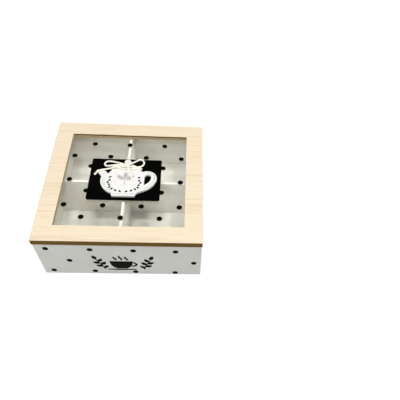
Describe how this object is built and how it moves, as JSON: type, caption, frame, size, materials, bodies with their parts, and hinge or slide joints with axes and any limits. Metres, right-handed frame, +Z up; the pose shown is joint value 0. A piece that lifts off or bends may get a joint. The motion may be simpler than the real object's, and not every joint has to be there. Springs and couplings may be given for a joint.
{
  "type": "tea bag organizer box",
  "caption": "Square painted wooden tea box with compartments under a hinged lid whose glass window carries a plaque and teapot ornament.",
  "frame": {"origin": "centre of the footprint, hinge knuckles included, at the level that the box stands on", "axes": "+Z up, +X to the right seen from the front, +Y from the front to the hinged back"},
  "size_m": [0.16, 0.163, 0.0645],
  "materials": {
    "white_paint": "satin white paint on fibreboard",
    "natural_wood": "pale pine veneer, matt lacquer",
    "window_glass": "clear",
    "clear_adhesive": "translucent adhesive",
    "black_board": "matt black paint",
    "ornament_white": "white paint",
    "hinge_brass": "brass plated",
    "twine": "twisted natural twine"
  },
  "bodies": {
    "case": {"front_wall": "white_paint", "back_wall": "white_paint", "left_wall": "white_paint", "right_wall": "white_paint", "floor_panel": "white_paint", "front_to_back_divider": "white_paint", "side_to_side_divider": "white_paint", "left_hinge_case_leaf": "hinge_brass", "right_hinge_case_leaf": "hinge_brass", "left_hinge_pin": "hinge_brass", "right_hinge_pin": "hinge_brass", "case_hinge_screws": "hinge_brass"},
    "lid": {"lid_frame": "natural_wood", "glass_pane": "window_glass", "glass_adhesive": "clear_adhesive", "plaque": "black_board", "teapot_ornament": "ornament_white", "left_hinge_lid_leaf": "hinge_brass", "right_hinge_lid_leaf": "hinge_brass", "lid_hinge_screws": "hinge_brass", "neck_wrap": "twine", "bow_knot": "twine", "left_bow_loop": "twine", "right_bow_loop": "twine", "long_tail": "twine", "short_tail": "twine", "tail_end_knot": "twine"}
  },
  "joints": [
    {"name": "lid_hinge", "type": "hinge", "parent": "case", "child": "lid", "pos_m": [0, 0.08007, 0.0536], "axis": [-1, 0, 0], "range_deg": [0, 195]}
  ]
}
